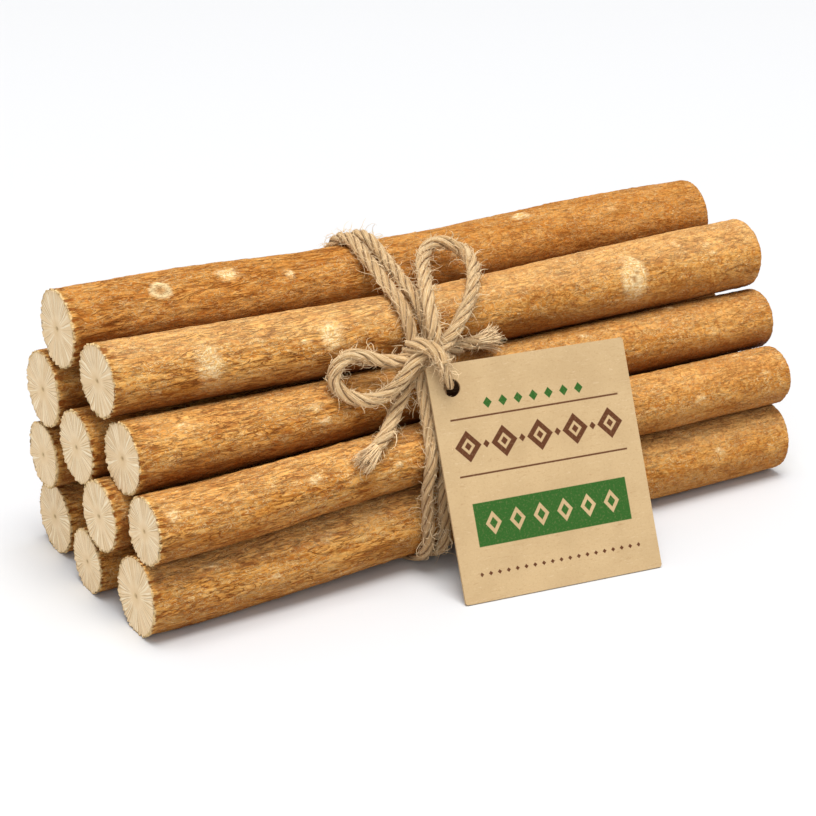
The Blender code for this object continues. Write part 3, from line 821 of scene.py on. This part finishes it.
def twine_tree():
    """Plies laid round each line, with the way round and along each ply stored for its fibres."""
    tree, shape = new_tree("laid_twine", {
        "Ply Size": ("Float", PLY_SIZE), "Ply Reach": ("Float", PLY_REACH), "Sides": ("Int", PLY_SIDES),
        "Jute": ("Material", None)})
    size, reach, sides, jute = (shape.output(n) for n in ("Ply Size", "Ply Reach", "Sides", "Jute"))
    lay = read(shape, "lay")
    across = read(shape, "across", "FLOAT_VECTOR")
    outward = read(shape, "outward", "FLOAT_VECTOR")
    thick = read(shape, "thick")
    squash = read(shape, "squash")
    lines = store(shape, "centre", shape.add("GeometryNodeInputPosition"), "FLOAT_VECTOR")
    profile = shape.add("GeometryNodeCurvePrimitiveCircle", {"Resolution": sides, "Radius": 1.0})
    profile = store(profile, "fibre_side", shape.add("GeometryNodeInputPosition"), "FLOAT_VECTOR")
    plies = []
    for ply in range(PLIES):
        angle = lay + 2 * math.pi * ply / PLIES
        aside = across.vector("SCALE", scale=angle.maths("COSINE"))
        above = outward.vector("SCALE", scale=angle.maths("SINE"))
        offset = aside.vector("ADD", above).vector("SCALE", scale=thick * reach * MM)
        path = lines.add("GeometryNodeSetPosition", {"Geometry": lines, "Offset": offset})
        path = store(path, "ply", float(ply))
        curve = path.add("GeometryNodeMeshToCurve", {"Mesh": path})
        swell = shape.add("ShaderNodeTexNoise", {"Vector": shape.add("ShaderNodeCombineXYZ", {
            0: read(shape, "along") * 0.11, 1: 5.0 * ply}), "Scale": 1.0, "Detail": 1.0}) * 0.5 + 0.75
        tube = curve.add("GeometryNodeCurveToMesh", {"Curve": curve, "Profile Curve": profile,
                                                     "Scale": thick * size * swell * MM, "Fill Caps": True})
        plies.append(tube)
    joined = shape.add("GeometryNodeJoinGeometry")
    for tube in plies:
        tree.links.new(tube.socket, joined.socket.node.inputs[0])
    centre = read(shape, "centre", "FLOAT_VECTOR")
    off = shape.add("GeometryNodeInputPosition").vector("SUBTRACT", centre)
    joined = store(joined, "crown", off.vector("LENGTH").output("Value") / (thick * MM))
    lift = off.vector("DOT_PRODUCT", outward).output("Value")
    flat = outward.vector("SCALE", scale=lift * (squash - 1.0))
    joined = joined.add("GeometryNodeSetPosition", {"Geometry": joined, "Offset": flat})
    end_tree(joined, (jute, True))
    return tree


def jute_look():
    """Jute yarn: pale straw fibres bundled along each ply, with painted shade in the grooves between them."""
    made, start = finish("jute_look", Roughness=0.85, Specular_IOR_Level=0.1, Sheen_Weight=0.1,
                         Sheen_Roughness=0.5)
    side = start.field("fibre_side", "Vector")
    crown = start.field("crown")
    along = start.add("ShaderNodeCombineXYZ", {2: start.field("along") + start.field("ply") * 97.0})

    def drawn_out(across, length, **settings):
        """Noise drawn out along each ply."""
        spot = side.vector("MULTIPLY", (across, across, 0.0))
        spot = spot.vector("ADD", along.vector("SCALE", scale=length))
        return start.add("ShaderNodeTexNoise", {"Vector": spot, "Scale": 1.0, **settings})

    fibres = drawn_out(6.0, 0.28, Detail=4.0, Roughness=0.7, Distortion=0.7)
    bundles = drawn_out(1.6, 0.07, Detail=2.0)
    loose = 1.0 - side.vector("LENGTH").output("Value")  # 1 on the loose fibres, which have no side stored
    colour = bundles.ramp(0.35, 0.65).mix(paint(226, 182, 124), paint(244, 208, 156)).under(
        (fibres.ramp(0.52, 0.62) * 0.8, (250, 226, 180)),
        (fibres.ramp(0.48, 0.38) * 0.85, (150, 100, 50)),
        (crown.ramp(0.86, 0.66) * crown.ramp(0.05, 0.3) * 0.8, (118, 72, 28)),  # painted shade in the grooves between the plies
        (start.place().axis("Z").ramp(32.0, 14.0) * 0.5, (150, 104, 58)),  # painted shade, darker low down
        (loose * 0.6, (246, 222, 180)))
    plug(made, "Base Color", colour)
    emboss(made, 1.0, 0.4, fibres)
    return made


strands = [turn_strand(x) for x in TURN_X]
strands += [free_strand(name, route) for name, route in ROUTES.items()]
run = 0.0
for strand in strands:
    gaps = np.linalg.norm(np.diff(strand["path"], axis=0, prepend=strand["path"][:1]), axis=1)
    strand["along"] = run + np.cumsum(gaps)
    total = strand["along"][-1] - run + (TWINE_STEP if strand["closed"] else 0.0)
    lay_turns = total / LAY_LENGTH * TWINE / (2 * strand["thick"][0])
    lay_turns = round(lay_turns) if strand["closed"] else lay_turns
    strand["lay"] = (strand["along"] - run) / total * 2 * math.pi * lay_turns
    run += total
jute = jute_look()
twine_lines = add_object("twine_lines", line_mesh(
    "twine_lines", strands, across="FLOAT_VECTOR", outward="FLOAT_VECTOR", thick="FLOAT", squash="FLOAT",
    along="FLOAT", lay="FLOAT"))
twine = add_object("jute_twine", grown(twine_lines, twine_tree(), {"Jute": jute}))
lay_on_table(twine.data)
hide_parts("twine")
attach(twine, "root")


# The loose fibres
# Jute is hairy: short fibres stand out all along the yarn, and at the cut tails the plies come apart
# into stiff, straight bundles.
HAIRS, HAIR_POINTS, HAIR_SEED = 5600, 5, 5
HAIR_SHORTEST, HAIR_LENGTH, HAIR_LONGEST = 0.5, 1.2, 4.6  # the least, what is usually added, and the most
HAIR_THIN, HAIR_THICK = 0.04, 0.11
HAIR_TIP = 0.75  # share of its thickness that a fibre loses to its tip
HAIR_ROOT = 0.85  # share of a strand's radius at which its hairs start
HAIR_AHEAD, HAIR_ASIDE = (0.3, 1.2), (0.15, 1.0)  # how much of a hair's way is along the strand, and off it
HAIR_STRAY, HAIR_WOBBLE = 0.2, 0.12
HAIR_CURL = 0.55  # radians of bend for each part of a hair
PRESSED_BARE = 0.8  # share of its thickness below which a squashed strand shows no hairs
BUNDLES, BUNDLE_THIN, BUNDLE_THICK = 150, 0.09, 0.2
BUNDLE_REACH = (0.0, 1.5)  # how far bundles stick out past the end of a tail
BUNDLE_SPREAD, BUNDLE_STRAY, BUNDLE_WOBBLE = 0.2, 0.05, 0.03
FRAY_BACK = 7  # points of a tail's path that come apart
TONES = 900.0  # mm of yarn among which a fibre's tone is picked
FLOOR_GAP = 0.06


def fibre(start, way, length, thick, bend, along, jitter):
    """One loose fibre as a strand for line_mesh: it bends one way and thins to its tip."""
    places = [start]
    step = length / (HAIR_POINTS - 1)
    for wobble in jitter:
        places.append(places[-1] + way * step)
        way = unit(way + np.cross(bend, way) + wobble)
    path = np.array(places)
    path[:, 2] = np.maximum(path[:, 2], FLOOR_GAP)
    share = np.linspace(0.0, 1.0, HAIR_POINTS)
    return dict(path=path, thick=thick * (1.0 - HAIR_TIP * share ** 2), along=np.full(HAIR_POINTS, along),
                closed=False)


def loose_hairs(chance):
    """Hairs on every strand, as many on each as its length asks for."""
    lengths = np.array([len(s["path"]) for s in strands], dtype=float)
    counts = np.round(HAIRS * lengths / lengths.sum()).astype(int)
    hairs = []
    for strand, count in zip(strands, counts):
        ahead = unit(np.gradient(strand["path"], axis=0))
        for _ in range(count):
            i = chance.integers(len(strand["path"]) - strand["bare"])
            if strand["squash"][i] < PRESSED_BARE:
                continue
            angle = chance.uniform(0.0, 2 * math.pi)
            side = (strand["across"][i] * math.cos(angle)
                    + strand["outward"][i] * math.sin(angle) * strand["squash"][i])
            start = strand["path"][i] + side * strand["thick"][i] * HAIR_ROOT
            way = unit(ahead[i] * chance.choice((-1.0, 1.0)) * chance.uniform(*HAIR_AHEAD)
                       + side * chance.uniform(*HAIR_ASIDE) + chance.normal(0.0, HAIR_STRAY, 3))
            length = min(HAIR_LONGEST, HAIR_SHORTEST + chance.exponential(HAIR_LENGTH))
            thick = HAIR_THIN + (HAIR_THICK - HAIR_THIN) * chance.uniform() ** 2
            hairs.append(fibre(start, way, length, thick,
                               chance.normal(0.0, HAIR_CURL, 3), chance.uniform(0.0, TONES),
                               chance.normal(0.0, HAIR_WOBBLE, (HAIR_POINTS - 1, 3))))
    return hairs


def frayed_end(strand, curl, chance):
    """The fan of bundles that a cut tail comes apart into."""
    start = strand["path"][-1 - FRAY_BACK]
    way = unit(strand["path"][-1] - start)
    fan = []
    for _ in range(BUNDLES):
        angle, reach = chance.uniform(0.0, 2 * math.pi), math.sqrt(chance.uniform(0.0, 1.0))
        side = strand["across"][-1] * math.cos(angle) + strand["outward"][-1] * math.sin(angle)
        spread = unit(way + side * reach * BUNDLE_SPREAD + chance.normal(0.0, BUNDLE_STRAY, 3))
        length = FRAY_BACK * TWINE_STEP + chance.uniform(*BUNDLE_REACH)
        fan.append(fibre(start + side * reach * FRAY_WIDE, spread, length,
                         chance.uniform(BUNDLE_THIN, BUNDLE_THICK), chance.normal(0.0, curl, 3),
                         chance.uniform(0.0, TONES),
                         chance.normal(0.0, BUNDLE_WOBBLE, (HAIR_POINTS - 1, 3))))
    return fan


def fibre_tree():
    """A thin three-sided tube along every chain of points."""
    tree, shape = new_tree("loose_fibres", {"Sides": ("Int", 3), "Jute": ("Material", None)})
    sides, jute_in = shape.output("Sides"), shape.output("Jute")
    profile = shape.add("GeometryNodeCurvePrimitiveCircle", {"Resolution": sides, "Radius": 1.0})
    curve = shape.add("GeometryNodeMeshToCurve", {"Mesh": shape})
    tubes = curve.add("GeometryNodeCurveToMesh", {"Curve": curve, "Profile Curve": profile,
                                                  "Scale": read(shape, "thick") * MM, "Fill Caps": True})
    end_tree(tubes, (jute_in, True))
    return tree


hair_chance = np.random.default_rng(HAIR_SEED)
loose = loose_hairs(hair_chance)
for name, strand in zip(ROUTES, strands[len(TURN_X):]):
    if name in FRAYED:
        loose += frayed_end(strand, FRAYED[name][1], hair_chance)
hair_lines = add_object("hair_lines", line_mesh("hair_lines", loose, thick="FLOAT", along="FLOAT"))
hairs = add_object("jute_fibres", grown(hair_lines, fibre_tree(), {"Jute": jute}))
lay_on_table(hairs.data)
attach(hairs, "root")


# The tag
# Kraft card, cut square with a punched hole and printed in brown and green. It stands on its lower
# edge and leans back against the turns of twine, whose thin end goes through its hole.
TAG_WIDTH, TAG_HEIGHT, TAG_THICK = 42.8, 46.1, 0.5
TAG_CORNER = (-17.4, -22.8)
TAG_TURN, TAG_LEAN = -8.1, 27.0
TAG_ROUND, TAG_ROUND_STEPS = 0.6, 5
HOLE_PLACE, HOLE_RADIUS, HOLE_SIDES = (4.7, 41.4), 1.75, 40
# The print. Rows of diamonds: their height up the card, from one middle to the next, how far the row
# is shifted, and how far it reaches to each side. A band and two thin rules go across.
GREEN_ROW = (37.6, 3.3, 0.0, 11.6)
BROWN_ROW = (29.8, 7.7, 0.0, 18.6)
BETWEEN_ROW = (29.8, 7.7, 3.85, 15.0)
BAND_ROW = (14.6, 5.13, 2.565, 15.4)
FOOT_ROW = (5.2, 1.9, 0.0, 17.4)
BAND_TALL, BAND_REACH = 8.4, 16.6
RULES, RULE_THICK, RULE_REACH = (24.2, 35.2), 0.35, 18.2
SOFT_EDGE = 0.1  # mm over which the ink fades out
MANY = 20.5  # rows are counted from so many diamonds to the left, where no remainder is negative


def tag_mesh():
    """The card in XZ with its lower left corner at the origin and its back at +Y."""
    shape = bmesh.new()
    edges = []

    def loop(points):
        corners = [shape.verts.new((x * MM, 0.0, z * MM)) for x, z in points]
        edges.extend(shape.edges.new(pair) for pair in zip(corners, corners[1:] + corners[:1]))

    outline = []
    for x, z, start in ((TAG_WIDTH, 0, -90), (TAG_WIDTH, TAG_HEIGHT, 0), (0, TAG_HEIGHT, 90), (0, 0, 180)):
        middle_x = x + math.copysign(TAG_ROUND, TAG_WIDTH / 2 - x)
        middle_z = z + math.copysign(TAG_ROUND, TAG_HEIGHT / 2 - z)
        for step in range(TAG_ROUND_STEPS + 1):
            angle = math.radians(start + 90 * step / TAG_ROUND_STEPS)
            outline.append((middle_x + TAG_ROUND * math.cos(angle), middle_z + TAG_ROUND * math.sin(angle)))
    loop(outline)
    loop([(HOLE_PLACE[0] + HOLE_RADIUS * math.cos(2 * math.pi * i / HOLE_SIDES),
           HOLE_PLACE[1] + HOLE_RADIUS * math.sin(2 * math.pi * i / HOLE_SIDES)) for i in range(HOLE_SIDES)])
    filled = bmesh.ops.triangle_fill(shape, use_beauty=True, edges=edges)
    faces = [f for f in filled["geom"] if isinstance(f, bmesh.types.BMFace)]
    made = bmesh.ops.extrude_face_region(shape, geom=faces)
    backs = [v for v in made["geom"] if isinstance(v, bmesh.types.BMVert)]
    bmesh.ops.translate(shape, verts=backs, vec=Vector((0.0, TAG_THICK * MM, 0.0)))
    bmesh.ops.recalc_face_normals(shape, faces=shape.faces)
    mesh = bpy.data.meshes.new("tag")
    shape.to_mesh(mesh)
    shape.free()
    put(mesh, "card_place", "FLOAT_VECTOR", [vertex.co / MM for vertex in mesh.vertices])
    return mesh


def card_look():
    """Uncoated kraft card with short fibres, and its print."""
    made, start = finish("kraft_look", Roughness=0.85, Specular_IOR_Level=0.2)
    place = start.field("card_place", "Vector")
    across, height = place.axis("X") - TAG_WIDTH / 2, place.axis("Z")
    cloud = place.noise((9.0, 9.0, 9.0), detail=3.0)
    pulp = place.noise((0.45, 0.45, 0.45), detail=3.0, roughness=0.7)
    fibres = place.noise((1.6, 0.3, 0.3), detail=2.0, distortion=1.4)

    def inked(distance):
        """Ink inside a shape, from how far outside its edge a place is."""
        return distance.ramp(SOFT_EDGE, -SOFT_EDGE)

    def bar(middle, tall, reach):
        return inked(abs(height - middle) - tall / 2) * inked(abs(across) - reach)

    def diamonds(row, wide, tall):
        """A row of diamonds of this size."""
        middle, pitch, shift, reach = row
        along = across + (shift + MANY * pitch)
        aside = abs(along.maths("MODULO", pitch) - pitch / 2)
        return inked(aside * (tall / wide) + abs(height - middle) - tall / 2) * inked(abs(across) - reach)

    lozenges = diamonds(BAND_ROW, 3.4, 4.6) * (1.0 - diamonds(BAND_ROW, 1.7, 2.3))
    green = bar(BAND_ROW[0], BAND_TALL, BAND_REACH) * (1.0 - lozenges) | diamonds(GREEN_ROW, 1.9, 2.2)
    brown = (diamonds(BROWN_ROW, 5.6, 6.2) * (1.0 - diamonds(BROWN_ROW, 2.9, 3.2))
             | diamonds(BROWN_ROW, 1.5, 1.7) | diamonds(BETWEEN_ROW, 1.4, 1.6) | diamonds(FOOT_ROW, 0.9, 0.9))
    for rule in RULES:
        brown = brown | bar(rule, RULE_THICK, RULE_REACH)
    ink = 0.86 + 0.14 * pulp.ramp(0.3, 0.5)
    colour = cloud.ramp(0.3, 0.7).mix(paint(190, 161, 119), paint(199, 170, 127)).under(
        (pulp.ramp(0.5, 0.7) * 0.35, (172, 137, 95)),
        (fibres.ramp(0.62, 0.72) * 0.4, (164, 126, 84)),
        (fibres.ramp(0.38, 0.28) * 0.3, (224, 200, 164)),
        (green * ink, (46, 92, 32)),
        (brown * ink, (92, 52, 28)))
    plug(made, "Base Color", colour)
    emboss(made, 0.5, 0.06, pulp + fibres * 0.6)
    return made


tag_data = tag_mesh()
raised = TAG_THICK * math.sin(math.radians(TAG_LEAN))
tag_data.transform(
    Matrix.Translation((Vector((*TAG_CORNER, raised)) + BUNDLE_SHIFT) * MM)
    @ Matrix.Rotation(math.radians(TAG_TURN), 4, "Z") @ Matrix.Rotation(math.radians(-TAG_LEAN), 4, "X"))
tag_data.materials.append(card_look())
tag = add_object("card_tag", tag_data)
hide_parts("tag")
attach(tag, "root")
